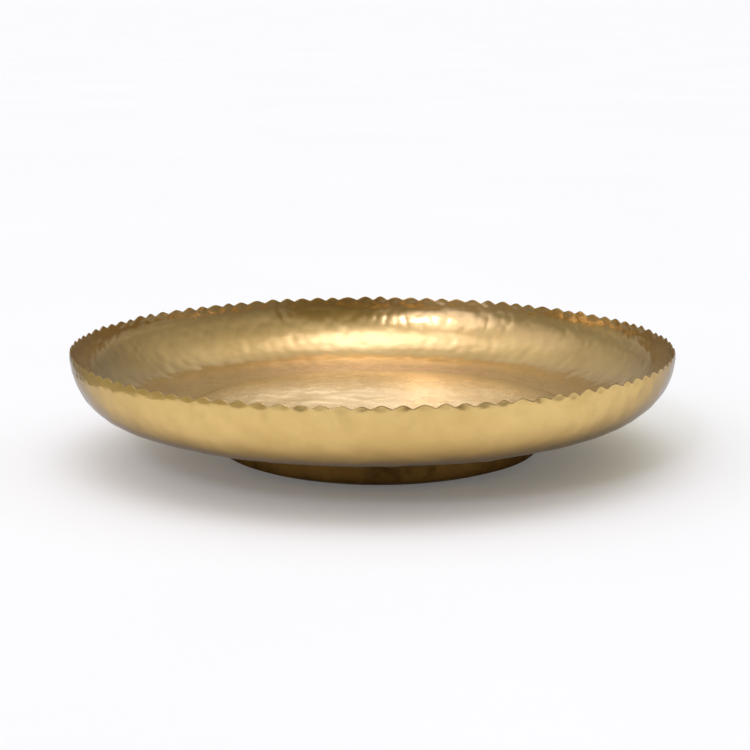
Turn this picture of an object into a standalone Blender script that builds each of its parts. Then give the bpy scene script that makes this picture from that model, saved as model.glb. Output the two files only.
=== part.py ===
"""Footed hammered brass tray.

Three pieces, in metres, +Z up, standing on z = 0 with the rim's centre on the Z axis:
  dish          one raised sheet: flat floor, low wall, scalloped upright lip
  foot_ring     a drum-shaped band with its lower edge turned in to a flat flange
  braze_fillet  the ring of filler in the inner corner between foot and dish
"""

import math

import bmesh
import bpy

# ---------------------------------------------------------------- driving dimensions
RIM_R = 0.2000            # outer radius of the lip
RIM_Z = 0.0741            # mean height of the rim edge above the table
SHEET = 0.0013            # thickness of the dish's sheet
FLOOR_UNDER_Z = 0.0286    # underside of the channel around the floor disc
WALL_START_R = 0.1400     # where the wall leaves the flat
WALL_POWER = 2.6          # fullness of the wall's curve (2 is an ellipse)
DISC_R = 0.1270           # middle of the step round the raised floor disc
DISC_STEP_W = 0.0090      # width of that step
DISC_RAISE = 0.0026       # height of the disc over the channel

SCALLOPS = 104            # struck scallops round the rim
SCALLOP_LIFT = 0.0009     # crest above the mean rim
SCALLOP_DROP = 0.0013     # valley below the mean rim
SHOULDER_LIFT = 0.0003    # height at a quarter of each scallop

SEAT_OFFSET_X = 0.0045    # the floor disc and the foot sit this far off the rim's centre
WALL_LEAN_X = -0.0018     # the lower wall bulges this far to the other side

FOOT_R = 0.1062           # outer radius of the foot's wall
FOOT_FLARE = 0.0008       # it is this much wider where it meets the dish
FOOT_SHEET = 0.0015
FOOT_TURN_Z = 0.0086      # the wall starts to turn in at this height
FOOT_CORNER_R = 0.1053    # radius and height of the rounded corner,
FOOT_CORNER_Z = 0.0057    # from which the base dishes down to the flat
FOOT_BASE_POWER = 1.28    # how the dished base curves between corner and flat
FOOT_FLAT_R = 0.0868      # outer radius of the flat it stands on
FOOT_OPEN_R = 0.0730      # radius of the opening inside the flange

FILLET = 0.0034           # leg of the braze fillet
GAP = 0.0003              # gap left between touching pieces

STEPS = 104               # facets round the dish
FOOT_STEPS = 80           # facets round the foot and the fillet
PER_SCALLOP = 4           # points along the edge of one scallop


# ---------------------------------------------------------------- helpers
def clear_scene():
    for obj in list(bpy.data.objects):
        bpy.data.objects.remove(obj, do_unlink=True)


def brass(name, color, roughness):
    material = bpy.data.materials.new(name)
    material.use_nodes = True
    shader = material.node_tree.nodes["Principled BSDF"]
    shader.inputs["Base Color"].default_value = (*color, 1.0)
    shader.inputs["Metallic"].default_value = 1.0
    shader.inputs["Roughness"].default_value = roughness
    material.diffuse_color = (*color, 1.0)
    return material


def add_object(name, bm, material, sharp_deg=35):
    bmesh.ops.recalc_face_normals(bm, faces=bm.faces)
    mesh = bpy.data.meshes.new(name)
    bm.to_mesh(mesh)
    bm.free()
    mesh.materials.append(material)
    mesh.shade_smooth()
    mesh.set_sharp_from_angle(angle=math.radians(sharp_deg))
    obj = bpy.data.objects.new(name, mesh)
    bpy.context.scene.collection.objects.link(obj)
    return obj


def smooth_step(t):
    t = min(1.0, max(0.0, t))
    return t * t * (3.0 - 2.0 * t)


# ---------------------------------------------------------------- dish
def disc_height(radius):
    """Height of the floor sheet over the channel at this radius."""
    inner = DISC_R - DISC_STEP_W / 2
    return DISC_RAISE * (1.0 - smooth_step((radius - inner) / DISC_STEP_W))


def wall_point(phi):
    """Outer face of the wall: phi 0 at the channel, 90 degrees at the lip."""
    reach = math.sin(phi) ** (2.0 / WALL_POWER)
    radius = WALL_START_R + (RIM_R - WALL_START_R) * reach
    height = FLOOR_UNDER_Z + (RIM_Z - FLOOR_UNDER_Z) * (1.0 - math.cos(phi))
    return radius, height


def outer_profile():
    """(radius, height) of the outer face, from the floor out to just below the rim."""
    points = []
    for radius in (0.050, 0.095, DISC_R - DISC_STEP_W / 2):
        points.append((radius, FLOOR_UNDER_Z + DISC_RAISE))
    for part in (0.25, 0.5, 0.75, 1.0):
        radius = DISC_R - DISC_STEP_W / 2 + DISC_STEP_W * part
        points.append((radius, FLOOR_UNDER_Z + disc_height(radius)))
    for degrees in (8, 17, 27, 38, 49, 60, 70, 79, 86):
        points.append(wall_point(math.radians(degrees)))
    return points


def inward_offset(points, distance):
    """The same profile moved into the dish by this distance, square to the sheet."""
    moved = []
    for i, (radius, height) in enumerate(points):
        before = points[max(0, i - 1)]
        after = points[min(len(points) - 1, i + 1)]
        dr, dz = after[0] - before[0], after[1] - before[1]
        if i == 0:
            dr, dz = 1.0, 0.0
        length = math.hypot(dr, dz)
        moved.append((radius - dz / length * distance, height + dr / length * distance))
    return moved


def centre_x(radius, height):
    """How far a ring's centre stands off the rim's centre, along X."""
    up = (height - FLOOR_UNDER_Z) / (RIM_Z - FLOOR_UNDER_Z)
    out = smooth_step((radius - DISC_R) / (0.170 - DISC_R))
    seat = SEAT_OFFSET_X * (1.0 - out)
    lean = WALL_LEAN_X * out * (1.0 - smooth_step(up * 1.6))
    return seat + lean


def rim_height(k):
    """Height of the rim edge at point k of the PER_SCALLOP points of a scallop."""
    place = k % PER_SCALLOP
    if place == 0:
        return RIM_Z - SCALLOP_DROP
    if place == PER_SCALLOP // 2:
        return RIM_Z + SCALLOP_LIFT
    return RIM_Z + SHOULDER_LIFT


def ring(bm, radius, height, steps=STEPS):
    shift = centre_x(radius, height)
    return [
        bm.verts.new(
            (
                shift + radius * math.cos(2 * math.pi * k / steps),
                radius * math.sin(2 * math.pi * k / steps),
                height,
            )
        )
        for k in range(steps)
    ]


def rim_ring(bm, radius):
    count = SCALLOPS * PER_SCALLOP
    return [
        bm.verts.new(
            (
                radius * math.cos(2 * math.pi * k / count),
                radius * math.sin(2 * math.pi * k / count),
                rim_height(k),
            )
        )
        for k in range(count)
    ]


def bridge(bm, lower, upper):
    count = len(lower)
    for k in range(count):
        j = (k + 1) % count
        bm.faces.new((lower[k], lower[j], upper[j], upper[k]))


def bridge_to_rim(bm, lower, upper):
    """Joins a ring of STEPS points to the rim's ring of finer points."""
    fine, half = len(upper), PER_SCALLOP // 2
    for k in range(STEPS):
        for i in range(k * PER_SCALLOP - half, k * PER_SCALLOP + half):
            bm.faces.new((lower[k], upper[(i + 1) % fine], upper[i % fine]))
        middle = upper[(k * PER_SCALLOP + half) % fine]
        bm.faces.new((lower[k], lower[(k + 1) % STEPS], middle))


def close_floor(bm, first, height):
    centre = bm.verts.new((SEAT_OFFSET_X, 0.0, height))
    for k in range(STEPS):
        bm.faces.new((centre, first[k], first[(k + 1) % STEPS]))


def build_dish(material):
    bm = bmesh.new()
    outer = outer_profile()
    inner = inward_offset(outer, SHEET)
    skins = []
    for profile in (outer, inner):
        rings = [ring(bm, radius, height) for radius, height in profile]
        for lower, upper in zip(rings, rings[1:]):
            bridge(bm, lower, upper)
        close_floor(bm, rings[0], profile[0][1])
        skins.append(rings[-1])
    rim_outer = rim_ring(bm, RIM_R)
    rim_inner = rim_ring(bm, RIM_R - SHEET)
    bridge_to_rim(bm, skins[0], rim_outer)
    bridge_to_rim(bm, skins[1], rim_inner)
    bridge(bm, rim_outer, rim_inner)
    return add_object("dish", bm, material)


# ---------------------------------------------------------------- foot and fillet
def lathe(bm, profile, centre):
    """A closed profile of (radius, height) points turned round the vertical through centre."""
    verts = [bm.verts.new((centre + radius, 0.0, height)) for radius, height in profile]
    edges = [
        bm.edges.new((verts[i], verts[(i + 1) % len(verts)])) for i in range(len(verts))
    ]
    bmesh.ops.spin(
        bm,
        geom=verts + edges,
        cent=(centre, 0.0, 0.0),
        axis=(0.0, 0.0, 1.0),
        angle=2 * math.pi,
        steps=FOOT_STEPS,
        use_merge=True,
        use_duplicate=False,
    )
    bmesh.ops.remove_doubles(bm, verts=bm.verts, dist=1e-6)


def foot_outer_profile(top):
    """(radius, height) of the foot's outer face, from the dish down to the flat."""
    points = [
        (FOOT_R + FOOT_FLARE, top),
        (FOOT_R + FOOT_FLARE * 0.2, top - 0.010),
        (FOOT_R, FOOT_TURN_Z),
        (FOOT_R * 0.3 + FOOT_CORNER_R * 0.7, FOOT_CORNER_Z + 0.0009),
    ]
    for part in (0.95, 0.72, 0.46, 0.22):
        points.append(
            (
                FOOT_FLAT_R + (FOOT_CORNER_R - FOOT_FLAT_R) * part,
                FOOT_CORNER_Z * part**FOOT_BASE_POWER,
            )
        )
    points.append((FOOT_FLAT_R, 0.0))
    return points


def build_foot(material, top):
    outer = foot_outer_profile(top)
    inner = []
    for i, (radius, height) in enumerate(outer):
        before = outer[max(0, i - 1)]
        after = outer[min(len(outer) - 1, i + 1)]
        dr, dz = after[0] - before[0], after[1] - before[1]
        if i == 0:
            dr, dz = 0.0, -1.0
        if i == len(outer) - 1:
            dr, dz = -1.0, 0.0
        length = math.hypot(dr, dz)
        inner.append(
            (radius + dz / length * FOOT_SHEET, height - dr / length * FOOT_SHEET)
        )
    flange = [(FOOT_OPEN_R, 0.0), (FOOT_OPEN_R, FOOT_SHEET)]
    bm = bmesh.new()
    lathe(bm, outer + flange + inner[::-1], SEAT_OFFSET_X)
    return add_object("foot_ring", bm, material)


def build_fillet(material, top):
    outside = FOOT_R + FOOT_FLARE * 0.9 - FOOT_SHEET - GAP * 1.5
    profile = [(outside, top), (outside, top - FILLET)]
    for degrees in (60, 30):
        phi = math.radians(degrees)
        profile.append(
            (
                outside - FILLET + FILLET * math.sin(phi) * 0.92,
                top - FILLET + FILLET * math.cos(phi) * 0.92,
            )
        )
    profile.append((outside - FILLET, top))
    bm = bmesh.new()
    lathe(bm, profile, SEAT_OFFSET_X)
    return add_object("braze_fillet", bm, material)


# ---------------------------------------------------------------- assembly
def main():
    clear_scene()
    dish_brass = brass("hammered_brass", (0.78, 0.57, 0.27), 0.27)
    foot_brass = brass("spun_brass", (0.70, 0.50, 0.23), 0.32)
    filler = brass("braze_filler", (0.62, 0.50, 0.30), 0.45)

    seat_z = FLOOR_UNDER_Z + DISC_RAISE - GAP
    build_dish(dish_brass)
    build_foot(foot_brass, seat_z)
    build_fillet(filler, seat_z)


main()
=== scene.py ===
"""Looks of the footed hammered brass tray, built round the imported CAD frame."""

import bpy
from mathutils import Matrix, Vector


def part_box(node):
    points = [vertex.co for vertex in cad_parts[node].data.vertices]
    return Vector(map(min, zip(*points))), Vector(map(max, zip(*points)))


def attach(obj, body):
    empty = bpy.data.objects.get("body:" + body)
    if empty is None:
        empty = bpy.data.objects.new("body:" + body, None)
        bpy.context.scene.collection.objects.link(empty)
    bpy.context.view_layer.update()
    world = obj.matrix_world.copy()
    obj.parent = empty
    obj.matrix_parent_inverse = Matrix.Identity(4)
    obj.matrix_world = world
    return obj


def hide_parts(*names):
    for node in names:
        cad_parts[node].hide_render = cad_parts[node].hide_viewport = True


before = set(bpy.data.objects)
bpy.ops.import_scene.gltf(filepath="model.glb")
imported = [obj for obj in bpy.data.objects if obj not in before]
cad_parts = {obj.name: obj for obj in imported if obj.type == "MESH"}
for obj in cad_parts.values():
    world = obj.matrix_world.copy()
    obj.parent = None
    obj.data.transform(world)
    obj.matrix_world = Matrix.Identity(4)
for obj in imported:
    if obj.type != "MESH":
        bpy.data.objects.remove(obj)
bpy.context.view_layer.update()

import math

import bpy
import numpy as np
from mathutils import Vector

# ------------------------------------------------------------------ dimensions
dish_lo, dish_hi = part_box("dish")
foot_lo, foot_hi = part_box("foot_ring")
bead_lo, bead_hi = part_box("braze_fillet")

MM = 0.001
RIM_R = (dish_hi.x - dish_lo.x) / 2
CREST = 0.9 * MM                      # crest of a scallop above the mean rim
VALLEY = 1.3 * MM                     # valley of a scallop below the mean rim
RIM_Z = dish_hi.z - CREST
UNDER_Z = dish_lo.z                   # underside of the channel round the floor disc
SHEET = 1.3 * MM
WALL_START_R = 0.140
WALL_POWER = 2.6
DISC_R, DISC_STEP_W, DISC_RAISE = 0.127, 0.009, 0.0026
SAG = 4.2 * MM                        # the beaten floor disc sinks this much to its middle
SEAT_X = (foot_lo.x + foot_hi.x) / 2  # the floor disc and the foot stand off centre
LEAN_X = -1.8 * MM

SCALLOPS = 104
COLS = 10                             # mesh columns in one scallop
FINE = SCALLOPS * COLS

FOOT_TOP = foot_hi.z
FOOT_TOP_R = (foot_hi.x - foot_lo.x) / 2
FOOT_R = FOOT_TOP_R - 0.8 * MM
FOOT_SHEET = 1.5 * MM
FOOT_TURN_Z, FOOT_CORNER_R, FOOT_CORNER_Z = 0.0086, 0.1053, 0.0057
FOOT_BASE_POWER, FOOT_FLAT_R, FOOT_OPEN_R = 1.28, 0.0868, 0.0730


def smooth(t):
    t = np.clip(t, 0.0, 1.0)
    return t * t * (3.0 - 2.0 * t)


# ------------------------------------------------------------------ beaten surface
def waves(points, rng, count, shortest, longest, size):
    """Smooth uneven swell of a hand-beaten sheet: a sum of seeded sines over space."""
    total = np.zeros(len(points))
    for _ in range(count):
        direction = rng.normal(size=3)
        direction /= np.linalg.norm(direction)
        length = shortest * (longest / shortest) ** rng.random()
        phase = rng.random() * 2 * math.pi
        weight = (length / longest) ** 0.8
        total += weight * np.sin(points @ (direction * 2 * math.pi / length) + phase)
    return total * size / math.sqrt(count / 2)


class Marks:
    """Overlapping hammer marks: each one a shallow hollow, with soft ridges where they meet."""

    def __init__(self, positions, normals, rng, face, uneven, tilt, ridge):
        self.p = positions
        n = len(positions)
        self.curve = 1.0 / (2.0 * face * (1.0 + 0.35 * rng.normal(size=n)).clip(0.5, 1.9))
        self.c = rng.normal(size=n) * uneven
        t = rng.normal(size=(n, 3)) * tilt
        t -= normals * (t * normals).sum(1, keepdims=True)
        self.t = t
        self.k = 1.0 / ridge

    def height(self, points, pick):
        """Height of the surface over the bottoms of the marks in pick."""
        out = np.empty(len(points))
        p, c, t, curve = self.p[pick], self.c[pick], self.t[pick], self.curve[pick]
        for a in range(0, len(points), 4096):
            d = points[a : a + 4096, None, :] - p[None]
            h = (d * d).sum(2) * curve + c + (d * t).sum(2)
            low = h.min(1, keepdims=True)
            out[a : a + 4096] = (
                low[:, 0] - np.log(np.exp(-(h - low) * self.k).sum(1)) / self.k
            )
        return out


def ring_marks(radius_of, height_of, normal_of, first, last, spacing_of, jitter, rng):
    """Hammer marks laid in rings, the way a round is planished, closer together up the wall."""
    positions, normals, ring_s = [], [], []
    s = first
    while s < last:
        r, spacing = radius_of(s), spacing_of(s)
        count = max(1, int(round(2 * math.pi * r / spacing)))
        start = rng.random() * 2 * math.pi
        for i in range(count):
            a = start + 2 * math.pi * (i + rng.normal() * jitter) / count
            si = s + rng.normal() * jitter * spacing * 0.8
            ri, zi = radius_of(si), height_of(si)
            nr, nz = normal_of(si)
            positions.append((ri * math.cos(a), ri * math.sin(a), zi))
            normals.append((nr * math.cos(a), nr * math.sin(a), nz))
            ring_s.append(si)
        s += spacing * 0.86
    return np.array(positions), np.array(normals), np.array(ring_s)


# ------------------------------------------------------------------ dish profile
def disc_height(r):
    return DISC_RAISE * (1.0 - smooth((r - (DISC_R - DISC_STEP_W / 2)) / DISC_STEP_W))


flat_r = np.arange(0.0, WALL_START_R, 0.0005)
hollow = 1.0 - np.hypot(flat_r, 0.014) / 0.116
flat_z = UNDER_Z + disc_height(flat_r) - SAG * (hollow + np.hypot(hollow, 0.05)) / 2
phi = np.linspace(0.0, math.pi / 2, 500)
wall_r = WALL_START_R + (RIM_R - WALL_START_R) * np.sin(phi) ** (2.0 / WALL_POWER)
wall_z = UNDER_Z + (RIM_Z - UNDER_Z) * (1.0 - np.cos(phi))
line_r = np.concatenate([flat_r, wall_r])
line_z = np.concatenate([flat_z, wall_z])
line_s = np.concatenate([[0.0], np.cumsum(np.hypot(np.diff(line_r), np.diff(line_z)))])
keep = np.concatenate([[True], np.diff(line_s) > 1e-7])
line_r, line_z, line_s = line_r[keep], line_z[keep], line_s[keep]
slope_r = np.gradient(line_r, line_s)
slope_z = np.gradient(line_z, line_s)
S_END = line_s[-1]


def profile_r(s):
    return np.interp(s, line_s, line_r)


def profile_z(s):
    return np.interp(s, line_s, line_z)


def profile_normal(s):
    """Unit normal into the dish, as (radial, vertical)."""
    nr = -np.interp(s, line_s, slope_z)
    nz = np.interp(s, line_s, slope_r)
    n = np.hypot(nr, nz)
    return nr / n, nz / n


def centre_x(r, z):
    up = (z - UNDER_Z) / (RIM_Z - UNDER_Z)
    out = smooth((r - DISC_R) / (0.170 - DISC_R))
    return SEAT_X * (1.0 - out) + LEAN_X * out * (1.0 - smooth(up * 1.6))


# ------------------------------------------------------------------ struck rim
rim_rng = np.random.default_rng(41)
step = 2 * math.pi / SCALLOPS
valley_at = step * (np.arange(SCALLOPS) + 0.085 * rim_rng.normal(size=SCALLOPS))
valley_z = RIM_Z - VALLEY + 0.13 * MM * rim_rng.normal(size=SCALLOPS)
lift = (VALLEY + CREST) * (1.0 + 0.11 * rim_rng.normal(size=SCALLOPS))
next_at = np.roll(valley_at, -1)
next_at[-1] += 2 * math.pi
next_z = np.roll(valley_z, -1)
width = next_at - valley_at

t_col = np.arange(COLS) / COLS
rim_angle = (valley_at[:, None] + width[:, None] * t_col).ravel()
crest_shape = 0.5 * 4 * t_col * (1 - t_col) + 0.5 * np.sin(math.pi * t_col) ** 2
rim_edge = (
    valley_z[:, None] * (1 - t_col)
    + next_z[:, None] * t_col
    + lift[:, None] * crest_shape
).ravel()
even_angle = 2 * math.pi * np.arange(FINE) / FINE


class Dimples:
    """The lens-shaped hollow struck below each scallop: a round punch laid over the rim edge."""

    def __init__(self, rng, depth, spread):
        self.at = (valley_at + next_at) / 2 + 0.03 * width * rng.normal(size=SCALLOPS)
        self.mid = (valley_z + next_z) / 2
        half = width * RIM_R / 2
        drop = 2.5 * MM * (1.0 + 0.16 * rng.normal(size=SCALLOPS)).clip(0.6, 1.5)
        self.r = (half**2 + drop**2) / (2 * drop)
        self.z = self.mid + self.r - drop
        self.depth = depth * (1.0 + spread * rng.normal(size=SCALLOPS)).clip(0.4, 1.35)
        self.skew = 0.35 * rng.normal(size=SCALLOPS)

    def cut(self, angle, z):
        """Depth of the hollow at each point, and how far inside a lens the point is."""
        k = np.floor(np.arange(FINE) / COLS).astype(int)
        best = np.zeros(FINE)
        for side in (-1, 0, 1):
            j = (k + side) % SCALLOPS
            d = (angle - self.at[j] + math.pi) % (2 * math.pi) - math.pi
            x = d * RIM_R
            inside = 1.0 - (x**2 + (z - self.z[j]) ** 2) / self.r[j] ** 2
            lean = 1.0 + self.skew[j] * x / (6 * MM)
            best = np.maximum(best, np.clip(inside, 0, None) * self.depth[j] * lean)
        return best


# ------------------------------------------------------------------ mesh helpers
class Builder:
    def __init__(self):
        self.points, self.faces, self.painted_shade = [], [], []
        self.count = 0

    def ring(self, points, **values):
        self.points.append(points)
        row = np.zeros((len(points), 3))
        for i, key in enumerate(("rim", "lens", "under")):
            row[:, i] = values.get(key, 0.0)
        self.painted_shade.append(row)
        ids = np.arange(self.count, self.count + len(points))
        self.count += len(points)
        return ids

    def join(self, a, b, flip):
        """Faces between ring a and the ring b outside it. b has as many points, or twice as many."""
        if len(a) == len(b):
            quads = np.stack([a, b, np.roll(b, -1), np.roll(a, -1)], 1)
            self.faces.append(quads[:, ::-1] if flip else quads)
            return
        assert len(b) == 2 * len(a)
        even, odd = b[0::2], b[1::2]
        a2, e2 = np.roll(a, -1), np.roll(even, -1)
        for tri in (
            np.stack([a, even, odd], 1),
            np.stack([a, odd, a2], 1),
            np.stack([a2, odd, e2], 1),
        ):
            self.faces.append(tri[:, ::-1] if flip else tri)

    def cap(self, centre, ring, flip):
        tri = np.stack([np.full(len(ring), centre), ring, np.roll(ring, -1)], 1)
        self.faces.append(tri[:, ::-1] if flip else tri)

    def object(self, name, smooth_deg=None):
        points = np.concatenate(self.points)
        loops = np.concatenate([f.ravel() for f in self.faces])
        sizes = np.concatenate([np.full(len(f), f.shape[1]) for f in self.faces])
        mesh = bpy.data.meshes.new(name)
        mesh.vertices.add(len(points))
        mesh.vertices.foreach_set("co", points.astype(np.float32).ravel())
        mesh.loops.add(len(loops))
        mesh.loops.foreach_set("vertex_index", loops.astype(np.int32))
        mesh.polygons.add(len(sizes))
        starts = np.concatenate([[0], np.cumsum(sizes)[:-1]])
        mesh.polygons.foreach_set("loop_start", starts.astype(np.int32))
        mesh.polygons.foreach_set("loop_total", sizes.astype(np.int32))
        mesh.update(calc_edges=True)
        mesh.validate()
        painted_shade = np.concatenate(self.painted_shade)
        for i, key in enumerate(("rim", "lens", "under")):
            layer = mesh.attributes.new(key, "FLOAT", "POINT")
            layer.data.foreach_set("value", painted_shade[:, i].astype(np.float32))
        mesh.shade_smooth()
        if smooth_deg:
            mesh.set_sharp_from_angle(angle=math.radians(smooth_deg))
        obj = bpy.data.objects.new(name, mesh)
        bpy.context.scene.collection.objects.link(obj)
        return obj


def angles(count, jitter):
    """Column angles of a ring: the rim's uneven ones where jitter is 1, even ones where it is 0."""
    stride = FINE // count
    return (even_angle + (rim_angle - even_angle) * jitter)[::stride]


# ------------------------------------------------------------------ dish
def build_dish():
    rng = np.random.default_rng(20)
    body = Builder()
    low_z = RIM_Z - 9.0 * MM
    s_low = float(np.interp(low_z, line_z[line_r > 0.17], line_s[line_r > 0.17]))
    r_of_z = lambda z: np.interp(z, line_z[line_r > 0.17], line_r[line_r > 0.17])

    faces = {}
    for side, wider in (("in", 0.0), ("out", 1.2 * MM)):
        seeds = np.random.default_rng(5 if side == "in" else 6)
        p, n, s = ring_marks(
            lambda s: float(profile_r(s)),
            lambda s: float(profile_z(s)),
            lambda s: tuple(float(v) for v in profile_normal(s)),
            4 * MM, S_END + 4 * MM,
            lambda s: float(np.interp(s, (0.15, 0.20), (10.5 * MM, 8.2 * MM))) + wider,
            0.20, seeds,
        )
        radius = np.interp(s, (0.13, 0.16, 0.205), (0.210, 0.088, 0.062))
        radius *= 1.0 if side == "in" else 1.25
        tilt = np.interp(s, (0.13, 0.18), (0.006, 0.016))[:, None]
        marks = Marks(p, n, seeds, face=radius, uneven=0.010 * MM, tilt=tilt, ridge=0.012 * MM)
        faces[side] = (marks, s)
    dents = dict(count=26, shortest=0.030, longest=0.110, size=0.16 * MM)

    def sheet_ring(s, count, jitter, side):
        a = angles(count, jitter)
        r, z = float(profile_r(s)), float(profile_z(s))
        nr, nz = profile_normal(s)
        e = np.stack([r * np.cos(a), r * np.sin(a), np.full(count, z)], 1)
        normal = np.stack([nr * np.cos(a), nr * np.sin(a), np.full(count, nz)], 1)
        swell = waves(e, np.random.default_rng(77), **dents)
        marks, at = faces[side]
        pick = np.abs(at - s) < 0.024
        h = marks.height(e, pick)
        off = SHEET + h if side == "in" else -h
        p = e + normal * (off + swell)[:, None]
        p[:, 0] += centre_x(r, z)
        return p

    # rows from the floor's middle out to the foot of the rim zone
    def rows(side):
        coarse = 1.0 if side == "in" else 1.35
        fine_s = s_low - 14 * MM if side == "in" else s_low
        out = []
        for lo, hi, pitch, count in (
            (0.004, 0.028, 3.0 * MM, FINE // 16),
            (0.028, 0.062, 2.6 * MM, FINE // 8),
            (0.062, 0.1205, 2.3 * MM * coarse, FINE // 4),
            (0.1205, 0.1345, 1.3 * MM, FINE // 2),
            (0.1345, fine_s, 2.35 * MM * coarse, FINE // 2),
            (fine_s, s_low, 1.8 * MM, FINE),
        ):
            n = int(round((hi - lo) / pitch))
            for i in range(n):
                out.append((lo + (hi - lo) * i / n, count))
        out.append((s_low, FINE))
        return out

    tops = {}
    rim_in = Dimples(np.random.default_rng(9), 0.68 * MM, 0.20)
    rim_out = Dimples(np.random.default_rng(10), 0.66 * MM, 0.16)
    a = rim_angle
    for side in ("out", "in"):
        flip = side == "in"
        under = 1.0 if side == "out" else 0.0
        before = None
        for s, count in rows(side):
            jitter = float(smooth((s - 0.16) / (s_low - 0.16)))
            ids = body.ring(sheet_ring(s, count, jitter, side), under=under)
            if before is None:
                tip = sheet_ring(1e-5, FINE // 16, 0.0, side).mean(0, keepdims=True)
                middle = body.ring(tip, under=under)[0]
                body.cap(middle, ids, not flip)
            else:
                body.join(before, ids, not flip)
            before = ids
        # rim zone: rows stretch between the low line and the scalloped edge
        base = sheet_ring(s_low, FINE, 1.0, side)
        base_r = np.hypot(base[:, 0] - centre_x(r_of_z(low_z), low_z), base[:, 1])
        base_z = base[:, 2]
        e0 = np.stack([RIM_R * np.cos(a), RIM_R * np.sin(a), np.full(FINE, RIM_Z)], 1)
        swell = waves(e0, np.random.default_rng(78), 14, 0.040, 0.160, 0.22 * MM)
        marks, at = faces[side]
        rim_pick = at > s_low - 0.02
        for f in (0.13, 0.25, 0.36, 0.46, 0.55, 0.635, 0.71, 0.78, 0.845, 0.9, 0.95, 1.0):
            z = base_z + f * (rim_edge - 0.35 * MM - base_z)
            r_out = r_of_z(z)
            e = np.stack([r_out * np.cos(a), r_out * np.sin(a), z], 1)
            h = marks.height(e, rim_pick) * (1 - 0.75 * f)
            start = base_r - r_of_z(base_z)
            if side == "in":
                r_flat = r_out - SHEET - h
                cut = rim_in.cut(a, z)
            else:
                r_flat = r_out + h
                cut = rim_out.cut(a, z)
            blend = smooth(np.array(f / 0.36))
            r_now = r_flat * blend + (r_out + start) * (1 - blend) + swell * f
            r_now = r_now + cut * (1 if side == "in" else -1)
            lean = centre_x(r_out, z) * (1 - f)
            p = np.stack([r_now * np.cos(a) + lean, r_now * np.sin(a), z], 1)
            ids = body.ring(
                p,
                under=under,
                rim=float(smooth(np.array((f - 0.80) / 0.20))),
                lens=np.clip(cut / (0.22 * MM), 0, 1),
            )
            body.join(before, ids, not flip)
            before = ids
        tops[side] = (before, r_now, z, lean)
    # the edge itself: a rounded turn from the outer face over to the inner one
    (ids_out, r_o, z_o, lean), (ids_in, r_i, z_i, _) = tops["out"], tops["in"]
    mid, half = (r_o + r_i) / 2, (r_o - r_i) / 2
    before = ids_out
    for degrees in (25, 50, 75, 105, 130, 155):
        t = math.radians(degrees)
        r = mid + half * math.cos(t)
        z = (z_o * (1 + math.cos(t)) + z_i * (1 - math.cos(t))) / 2 + 0.35 * MM * math.sin(t)
        ids = body.ring(
            np.stack([r * np.cos(a), r * np.sin(a), z], 1), rim=1.0, under=0.5
        )
        body.join(before, ids, True)
        before = ids
    body.join(before, ids_in, True)
    return body.object("hammered_dish")


# ------------------------------------------------------------------ foot and bead
def turned(name, profile, columns, dent, marks=None, centre=SEAT_X):
    """A closed (radius, height) profile turned round the seat's axis, beaten a little uneven."""
    body = Builder()
    a = 2 * math.pi * np.arange(columns) / columns
    before, first = None, None
    prof = np.array(profile)
    d = np.roll(prof, -1, 0) - np.roll(prof, 1, 0)
    n = np.stack([d[:, 1], -d[:, 0]], 1)
    n /= np.linalg.norm(n, axis=1, keepdims=True)
    for (r, z), (nr, nz) in zip(prof, n):
        e = np.stack([r * np.cos(a), r * np.sin(a), np.full(columns, z)], 1)
        normal = np.stack([nr * np.cos(a), nr * np.sin(a), np.full(columns, nz)], 1)
        h = waves(e, np.random.default_rng(3), 22, *dent) * min(1.0, max(0.0, z / 0.004))
        if marks is not None:
            h = h + marks(e, z)
        p = e - normal * h[:, None]
        p[:, 0] += centre
        ids = body.ring(p, under=1.0)
        if before is None:
            first = ids
        else:
            body.join(before, ids, False)
        before = ids
    body.join(before, first, False)
    return body.object(name)


def resample(points, pitch):
    points = np.array(points)
    s = np.concatenate([[0], np.cumsum(np.hypot(*np.diff(points, axis=0).T))])
    n = max(2, int(round(s[-1] / pitch)))
    at = np.linspace(0, s[-1], n + 1)
    return np.stack([np.interp(at, s, points[:, 0]), np.interp(at, s, points[:, 1])], 1)


def foot_outer():
    pts = [
        (FOOT_TOP_R, FOOT_TOP),
        (FOOT_R + 0.16 * MM, FOOT_TOP - 0.010),
        (FOOT_R, FOOT_TURN_Z + 0.002),
    ]
    # rounded corner, then the base dishing down to the flat
    for t in np.linspace(0, 1, 7)[1:]:
        c = smooth(np.array(t))
        pts.append(
            (FOOT_R + (FOOT_CORNER_R - FOOT_R) * float(t) ** 2,
             FOOT_TURN_Z + 0.002 + (FOOT_CORNER_Z - FOOT_TURN_Z - 0.002) * float(0.5 * t + 0.5 * c))
        )
    for part in np.linspace(1, 0, 14)[1:]:
        pts.append(
            (FOOT_FLAT_R + (FOOT_CORNER_R - FOOT_FLAT_R) * part,
             FOOT_CORNER_Z * part**FOOT_BASE_POWER)
        )
    return resample(pts, 1.5 * MM)


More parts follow.
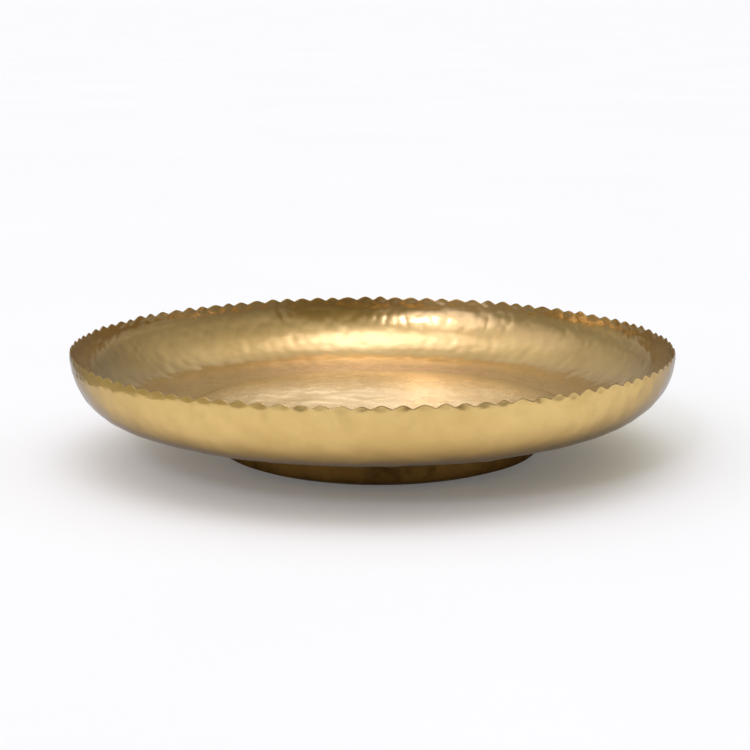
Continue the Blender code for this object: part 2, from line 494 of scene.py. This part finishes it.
def build_foot():
    outer = foot_outer()
    d = np.gradient(outer, axis=0)
    d /= np.linalg.norm(d, axis=1, keepdims=True)
    inner = outer + np.stack([d[:, 1], -d[:, 0]], 1) * FOOT_SHEET
    inner[0] = (outer[0, 0] - FOOT_SHEET, FOOT_TOP)
    inner[-1] = (FOOT_FLAT_R, FOOT_SHEET)
    flat_out = [(r, 0.0) for r in np.linspace(FOOT_FLAT_R, FOOT_OPEN_R + 0.7 * MM, 8)[1:]]
    shade_under_lip = [
        (FOOT_OPEN_R + 0.75 * MM - 0.75 * MM * math.sin(t), 0.75 * MM - 0.75 * MM * math.cos(t))
        for t in np.linspace(0, math.pi, 8)[1:-1]
    ]
    flat_in = [(r, FOOT_SHEET) for r in np.linspace(FOOT_OPEN_R + 0.7 * MM, FOOT_FLAT_R, 8)[:-1]]
    profile = [tuple(p) for p in outer] + flat_out + shade_under_lip + flat_in + [tuple(p) for p in inner[::-1]]

    rng = np.random.default_rng(15)
    ps, ns = [], []
    for z in np.arange(0.004, FOOT_TOP + 0.004, 8.5 * MM):
        count = int(round(2 * math.pi * FOOT_R / (10 * MM)))
        start = rng.random()
        for i in range(count):
            t = 2 * math.pi * (i + start + 0.2 * rng.normal()) / count
            ps.append((FOOT_R * math.cos(t), FOOT_R * math.sin(t), z + 1.4 * MM * rng.normal()))
            ns.append((math.cos(t), math.sin(t), 0.0))
    field = Marks(np.array(ps), np.array(ns), rng, face=0.20, uneven=0.008 * MM, tilt=0.007,
                  ridge=0.007 * MM)

    def marks(e, z):
        if z < 0.002:
            return np.zeros(len(e))
        r = np.hypot(e[:, 0], e[:, 1])
        if r.mean() < FOOT_R - 3 * MM:
            return np.zeros(len(e))
        near = np.abs(field.p[:, 2] - z) < 0.016
        return -field.height(e, near) * float(smooth(np.array((z - 0.002) / 0.006)))

    return turned("foot_drum", profile, 416, (0.030, 0.120, 0.14 * MM), marks)


def build_bead():
    lo, hi = bead_lo, bead_hi
    outside = (hi.x - lo.x) / 2
    leg = hi.z - lo.z
    top = hi.z
    profile = [(outside, top), (outside, top - leg * 0.55), (outside - 0.05 * MM, top - leg)]
    for t in np.linspace(0, 1, 11)[1:-1]:
        bulge = 0.10 * leg * math.sin(math.pi * t)
        profile.append(
            (outside - 0.05 * MM - leg * t + bulge * 0.6, top - leg * (1 - t) - bulge * 0.5)
        )
    profile += [(outside - leg, top)]
    return turned("braze_bead", profile, 416, (0.004, 0.030, 0.10 * MM))


# ------------------------------------------------------------------ materials
class Nodes:
    """Short calls for building one material's node tree."""

    def __init__(self, material):
        material.use_nodes = True
        self.tree = material.node_tree
        self.tree.nodes.clear()

    def new(self, kind, **inputs):
        node = self.tree.nodes.new(kind)
        for key, value in inputs.items():
            if hasattr(node, key) and key not in node.inputs:
                setattr(node, key, value)
            else:
                self.put(node.inputs[key], value)
        return node

    def put(self, socket, value):
        if isinstance(value, bpy.types.NodeSocket):
            self.tree.links.new(value, socket)
        else:
            socket.default_value = value

    def math(self, operation, a, b=0.0, clamp=False):
        node = self.tree.nodes.new("ShaderNodeMath")
        node.operation, node.use_clamp = operation, clamp
        self.put(node.inputs[0], a)
        self.put(node.inputs[1], b)
        return node.outputs[0]

    def span(self, value, a, b, c, d, kind="SMOOTHSTEP"):
        node = self.tree.nodes.new("ShaderNodeMapRange")
        node.interpolation_type = kind
        for socket, v in zip(node.inputs[:5], (value, a, b, c, d)):
            self.put(socket, v)
        return node.outputs[0]

    def mix(self, factor, a, b):
        node = self.tree.nodes.new("ShaderNodeMix")
        node.data_type = "RGBA"
        self.put(node.inputs["Factor"], factor)
        for key, v in (("A", a), ("B", b)):
            socket = [s for s in node.inputs if s.name == key and s.type == "RGBA"][0]
            if isinstance(v, tuple) and len(v) == 3:
                v = (*v, 1.0)
            self.put(socket, v)
        return [s for s in node.outputs if s.type == "RGBA"][0]

    def noise(self, vector, scale, detail=3.0, rough=0.5, distortion=0.0):
        node = self.tree.nodes.new("ShaderNodeTexNoise")
        self.put(node.inputs["Vector"], vector)
        node.inputs["Scale"].default_value = scale
        node.inputs["Detail"].default_value = detail
        node.inputs["Roughness"].default_value = rough
        node.inputs["Distortion"].default_value = distortion
        return node.outputs["Fac"]

    def attribute(self, name):
        node = self.tree.nodes.new("ShaderNodeAttribute")
        node.attribute_name = name
        return node.outputs["Fac"]


def brass_material(name, light, deep, patina, rough, aged_and_shaded):
    """Satin brass with cloudy tone, fine rubbing marks, small pits and a thin lacquer."""
    material = bpy.data.materials.new(name)
    n = Nodes(material)
    place = n.new("ShaderNodeTexCoord").outputs["Object"]
    parts = n.new("ShaderNodeSeparateXYZ", Vector=place)
    x, y, z = parts.outputs
    radius = n.math("SQRT", n.math("ADD", n.math("MULTIPLY", x, x), n.math("MULTIPLY", y, y)))
    angle = n.math("ARCTAN2", y, x)

    cloud = n.noise(place, 16.0, 4.0, 0.55)
    mottle = n.noise(place, 85.0, 3.0, 0.5)
    tone = n.math("ADD", n.math("MULTIPLY", cloud, 0.65), n.math("MULTIPLY", mottle, 0.35))
    colour = n.mix(n.span(tone, 0.36, 0.64, 0.0, 1.0), light, deep)

    # the outside is polished, the inside a little duller
    under = n.attribute("under")
    polish = n.new("ShaderNodeVectorMath", operation="SCALE")
    n.put(polish.inputs[0], colour)
    n.put(polish.inputs["Scale"], n.math("ADD", 1.0, n.math("MULTIPLY", under, 0.12 * (1 - aged_and_shaded))))
    colour = polish.outputs[0]

    # thin brown film: in blotches, thicker on the underside and deep in the struck lenses
    blotch = n.span(n.noise(place, 34.0, 5.0, 0.62, 0.6), 0.50, 0.78, 0.0, 1.0)
    lens = n.attribute("lens")
    film_and_shade = n.math("MULTIPLY", blotch, n.math("ADD", 0.10 + aged_and_shaded * 0.25, n.math("MULTIPLY", under, 0.10)))
    film_and_shade = n.math("ADD", film_and_shade, n.math("MULTIPLY", lens, 0.10), clamp=True)
    # the floor is darkened towards the patina colour, most of all in the channel round the disc
    channel = n.math("SUBTRACT", n.span(radius, 0.108, 0.128, 0.00, 0.62),
                     n.span(radius, 0.146, 0.178, 0.0, 0.62))
    channel = n.math("MULTIPLY", channel, 1.0 - aged_and_shaded)
    colour = n.mix(channel, colour, tuple(c * t for c, t in zip(patina, (1.00, 1.17, 1.16))))
    # and painted shade just under the lip, inside, which darkens the glow reflected there
    shade_under_lip = n.math("MULTIPLY", n.span(z, RIM_Z - 0.012, RIM_Z - 0.004, 0.0, 0.42),
                 n.math("SUBTRACT", 1.0, under))
    # and painted shade low on the outer face, darker towards the foot, standing in for the shadowed floor it
    # reflects
    shade_low_outside = n.math("MULTIPLY", n.span(z, UNDER_Z + 0.004, UNDER_Z + 0.020, 0.40, 0.0), under)
    # the brown film and the painted shade go on together in the patina colour
    painted_shade = n.math("ADD", shade_under_lip, shade_low_outside)
    film_and_shade = n.math("ADD", film_and_shade, n.math("MULTIPLY", painted_shade, 1.0 - aged_and_shaded), clamp=True)
    film_and_shade = n.math("ADD", film_and_shade, aged_and_shaded * 0.55, clamp=True)
    colour = n.mix(film_and_shade, colour, patina)
    # the crests are rubbed bright in places, and the cut edge itself stays dull and dark
    rim = n.attribute("rim")
    edge = n.math("SUBTRACT", 1.0, n.math("ABSOLUTE", n.math("SUBTRACT", n.math("MULTIPLY", under, 2.0), 1.0)))
    edge = n.math("MULTIPLY", edge, rim)
    colour = n.mix(n.math("MULTIPLY", edge, 0.60), colour, patina)
    worn = n.math("MULTIPLY", rim, n.span(n.noise(place, 220.0, 2.0), 0.40, 0.70, 0.0, 0.55))
    worn = n.math("MULTIPLY", worn, n.math("SUBTRACT", 1.0, n.math("MULTIPLY", edge, 0.7)))
    colour = n.mix(worn, colour, tuple(min(1.0, c * 1.12 + 0.03) for c in light))

    # rubbing marks follow the round, so they are drawn in (angle, radius, height)
    turned_place = n.new("ShaderNodeCombineXYZ", X=n.math("MULTIPLY", angle, 0.35),
                         Y=n.math("MULTIPLY", radius, 60.0), Z=n.math("MULTIPLY", z, 60.0)).outputs[0]
    hairs = n.noise(turned_place, 22.0, 4.0, 0.7)
    grain = n.noise(place, 1400.0, 2.0, 0.6)
    pits = n.span(n.noise(place, 520.0, 2.0, 0.5), 0.68, 0.76, 0.0, 1.0)

    roughness = n.math("ADD", rough - 0.045, n.math("MULTIPLY", mottle, 0.09))
    roughness = n.math("ADD", roughness, n.math("MULTIPLY", n.math("SUBTRACT", hairs, 0.5), 0.10))
    roughness = n.math("ADD", roughness, n.math("MULTIPLY", n.math("ADD", film_and_shade, channel, clamp=True), 0.10))
    # the floor is scoured by use
    roughness = n.math("ADD", roughness, n.span(radius, 0.118, 0.150, 0.08, 0.0))
    roughness = n.math("SUBTRACT", roughness, n.math("MULTIPLY", worn, 0.05), clamp=True)

    height = n.math("ADD", n.math("MULTIPLY", hairs, 0.45), n.math("MULTIPLY", grain, 0.25))
    height = n.math("SUBTRACT", height, n.math("MULTIPLY", pits, 0.9))
    bump = n.new("ShaderNodeBump", Strength=0.35, Distance=0.00004, Height=height).outputs[0]
    planish = n.noise(place, 130.0, 1.0, 0.4)
    bump2 = n.new("ShaderNodeBump", Strength=0.5, Distance=0.00022, Height=planish, Normal=bump).outputs[0]

    shader = n.new("ShaderNodeBsdfPrincipled", Metallic=1.0, Roughness=roughness, Normal=bump2)
    n.put(shader.inputs["Base Color"], colour)
    # the outside has less lacquer, and its tarnish shows at a glancing angle
    n.put(shader.inputs["Specular Tint"], n.mix(under, (1.0, 1.0, 1.0), (0.42, 0.42, 0.47)))
    lacquer = n.math("MULTIPLY", n.math("SUBTRACT", 0.9, n.math("MULTIPLY", under, 0.65)), 1.0 - aged_and_shaded)
    n.put(shader.inputs["Coat Weight"], n.math("MULTIPLY", lacquer, n.span(radius, 0.122, 0.140, 0.48, 1.0)))
    n.put(shader.inputs["Coat Roughness"], n.span(radius, 0.122, 0.140, 0.20, 0.13))
    shader.inputs["Coat IOR"].default_value = 1.5
    out = n.new("ShaderNodeOutputMaterial")
    n.tree.links.new(shader.outputs[0], out.inputs["Surface"])
    material.diffuse_color = (*light, 1.0)
    return material


# ------------------------------------------------------------------ pieces
dish = build_dish()
dish.data.materials.append(
    brass_material("hammered_brass", (0.670, 0.470, 0.180), (0.595, 0.402, 0.142),
                   (0.30, 0.190, 0.075), rough=0.20, aged_and_shaded=0.0)
)
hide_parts("dish")
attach(dish, "root")

foot = build_foot()
# the foot's dark colour is partly aged patina and partly painted shade: darker than its brass, standing in for
# the deep shadow under the dish that it reflects
foot.data.materials.append(
    brass_material("foot_brass", (0.350, 0.195, 0.048), (0.220, 0.116, 0.028),
                   (0.044, 0.0245, 0.0072), rough=0.34, aged_and_shaded=0.9)
)
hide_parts("foot_ring")
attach(foot, "root")

bead = build_bead()
bead.data.materials.append(
    brass_material("braze_filler", (0.52, 0.40, 0.20), (0.38, 0.27, 0.13),
                   (0.10, 0.07, 0.04), rough=0.46, aged_and_shaded=0.3)
)
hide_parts("braze_fillet")
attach(bead, "root")


# ------------------------------------------------------------------ stage
def make_floor():
    mesh = bpy.data.meshes.new("floor")
    size = 90.0
    mesh.from_pydata(
        [(-size, -size, 0), (size, -size, 0), (size, size, 0), (-size, size, 0)], [], [(0, 1, 2, 3)]
    )
    obj = bpy.data.objects.new("floor", mesh)
    bpy.context.scene.collection.objects.link(obj)
    material = bpy.data.materials.new("floor_paper")
    n = Nodes(material)
    place = n.new("ShaderNodeTexCoord").outputs["Object"]
    tone = n.span(n.noise(place, 2.0, 2.0), 0.3, 0.7, 0.0, 1.0)
    colour = n.mix(tone, (0.835, 0.869, 0.822), (0.85, 0.884, 0.837))
    shader = n.new("ShaderNodeBsdfPrincipled", Roughness=0.85)
    n.put(shader.inputs["Base Color"], colour)
    shader.inputs["Specular IOR Level"].default_value = 0.15
    # a light table: the sheet glows a little from below, which keeps the shadow pale
    shader.inputs["Emission Color"].default_value = (1.0, 1.0, 1.0, 1.0)
    shader.inputs["Emission Strength"].default_value = 0.11
    out = n.new("ShaderNodeOutputMaterial")
    n.tree.links.new(shader.outputs[0], out.inputs["Surface"])
    mesh.materials.append(material)
    obj.location.z = -0.0002
    return obj


def make_card():
    """A low card on the left, out of the frame: it glows dimly like a lit grey card and is seen only in
    reflections, where it draws a dark line in the polished wall.
    """
    mesh = bpy.data.meshes.new("glowing_card")
    x, near, far, top = -0.335, -0.60, 0.34, 0.11
    mesh.from_pydata([(x, near, 0), (x, far, 0), (x, far, top), (x, near, top)], [], [(0, 1, 2, 3)])
    obj = bpy.data.objects.new("glowing_card", mesh)
    bpy.context.scene.collection.objects.link(obj)
    material = bpy.data.materials.new("glowing_card")
    n = Nodes(material)
    glow = n.new("ShaderNodeEmission", Strength=0.50)
    glow.inputs["Color"].default_value = (1.0, 0.95, 0.74, 1.0)
    out = n.new("ShaderNodeOutputMaterial")
    n.tree.links.new(glow.outputs[0], out.inputs["Surface"])
    mesh.materials.append(material)
    obj.visible_camera = obj.visible_diffuse = obj.visible_shadow = False
    return obj


def direction(azimuth, elevation):
    """Unit vector from the tray. Azimuth 0 is +Y, behind it, and 90 is +X."""
    a, e = math.radians(azimuth), math.radians(elevation)
    return Vector((math.sin(a) * math.cos(e), math.cos(a) * math.cos(e), math.sin(e)))


# Studio round the tray: azimuth, elevation, bright and faded radius in degrees, radiance.
LAMPS = (
    (180, 80, 10, 20, 0.94),     # ceiling softbox, a little to the camera's side
    (180, 83, 8, 34, 0.9),      # the scrim round it
    (-158, 34, 3.5, 6, 15.0),   # key lamp over the camera's left shoulder
    (-146, 32, 11, 26, 1.15),   # its reflector
    (-100, 50, 10, 34, 0.27),   # scrim on the left
)
ROOM = 1.15                     # walls, dim at the floor and paler upwards
UPPER = 0.30                    # glow of the upper room
BACKDROP = 3.0                  # narrow strip of the pale backdrop, behind the tray
BAND = 0.20                     # far edge of the paper sweep
WALL_TINT = (1.0, 0.96, 0.88)   # the room is a little warm, the lamps a little cool
SHADE_TINT = (1.0, 0.84, 0.50)  # brown behind the camera
LAMP_TINT = (1.0, 0.970, 1.33)


def make_world():
    """A plain studio: walls that pale upwards, soft lamps, and a dim camera side."""
    world = bpy.data.worlds.new("studio")
    bpy.context.scene.world = world
    world.use_nodes = True
    n = Nodes(world)
    way = n.new("ShaderNodeTexCoord").outputs["Generated"]
    x, y, z = n.new("ShaderNodeSeparateXYZ", Vector=way).outputs

    def lobe(azimuth, elevation, bright, faded, power):
        dot = n.tree.nodes.new("ShaderNodeVectorMath")
        dot.operation = "DOT_PRODUCT"
        n.put(dot.inputs[0], way)
        dot.inputs[1].default_value = direction(azimuth, elevation)
        return n.span(dot.outputs["Value"], math.cos(math.radians(faded)),
                      math.cos(math.radians(bright)), 0.0, power)

    room = n.span(z, 0.0, 0.6, 0.20 * ROOM, 0.50 * ROOM, "LINEAR")
    upper = n.span(z, 0.6, 0.92, 0.0, UPPER)
    band = n.math("MULTIPLY", n.span(z, 0.11, 0.20, BAND, 0.0), n.span(y, -0.55, -0.05, 0.0, 1.0))
    strip = n.math("MULTIPLY", n.span(n.math("ABSOLUTE", x), 0.010, 0.062, BACKDROP, 0.0),
                   n.span(y, 0.0, 0.1, 0.0, 1.0))
    strip = n.math("MULTIPLY", strip, n.math("SUBTRACT", n.span(z, 0.24, 0.33, 0.0, 1.0),
                                             n.span(z, 0.38, 0.47, 0.0, 1.0)))
    walls = n.math("ADD", n.math("ADD", room, upper), n.math("ADD", band, strip))
    # the dark shape of the camera and its stand
    shade = lobe(166, 14, 18, 27, 1.0)
    walls = n.math("MULTIPLY", walls, n.math("SUBTRACT", 1.0, n.math("MULTIPLY", shade, 0.34)))
    # and a darker corner of the room, behind on the right
    corner = lobe(32, 24, 8, 30, 0.28)
    walls = n.math("MULTIPLY", walls, n.math("SUBTRACT", 1.0, corner))
    lamps = 0.0
    for lamp in LAMPS:
        lamps = n.math("ADD", lamps, lobe(*lamp))
    dim = n.new("ShaderNodeBackground", Strength=walls)
    n.put(dim.inputs["Color"], n.mix(shade, WALL_TINT, SHADE_TINT))
    bright = n.new("ShaderNodeBackground", Strength=lamps)
    bright.inputs["Color"].default_value = (*LAMP_TINT, 1.0)
    both = n.tree.nodes.new("ShaderNodeAddShader")
    n.tree.links.new(dim.outputs[0], both.inputs[0])
    n.tree.links.new(bright.outputs[0], both.inputs[1])
    out = n.new("ShaderNodeOutputWorld")
    n.tree.links.new(both.outputs[0], out.inputs["Surface"])
    return world


def make_camera():
    data = bpy.data.cameras.new("camera")
    data.sensor_width = 36.0
    data.lens = 93.785
    data.clip_start, data.clip_end = 0.05, 250.0
    obj = bpy.data.objects.new("camera", data)
    centre = Vector((0, 0, RIM_Z))
    e = math.radians(10.33)
    away = 6.5157 * RIM_R
    obj.location = centre + Vector((0, -away * math.cos(e), away * math.sin(e)))
    look = (centre - obj.location).normalized()
    right = Vector((1, 0, 0))
    up = right.cross(look)
    # the rim's centre sits 2.5 px left of and 30.5 px above the middle of a 750 px frame
    focal = data.lens / data.sensor_width * 750
    aim = look + right * (2.49 / focal) - up * (30.55 / focal)
    obj.rotation_mode = "QUATERNION"
    obj.rotation_quaternion = (-aim).normalized().to_track_quat("Z", "Y")
    bpy.context.scene.collection.objects.link(obj)
    bpy.context.scene.camera = obj


make_floor()
make_card()
make_world()
make_camera()
bpy.context.scene.view_settings.view_transform = "Standard"
bpy.context.scene.view_settings.look = "None"
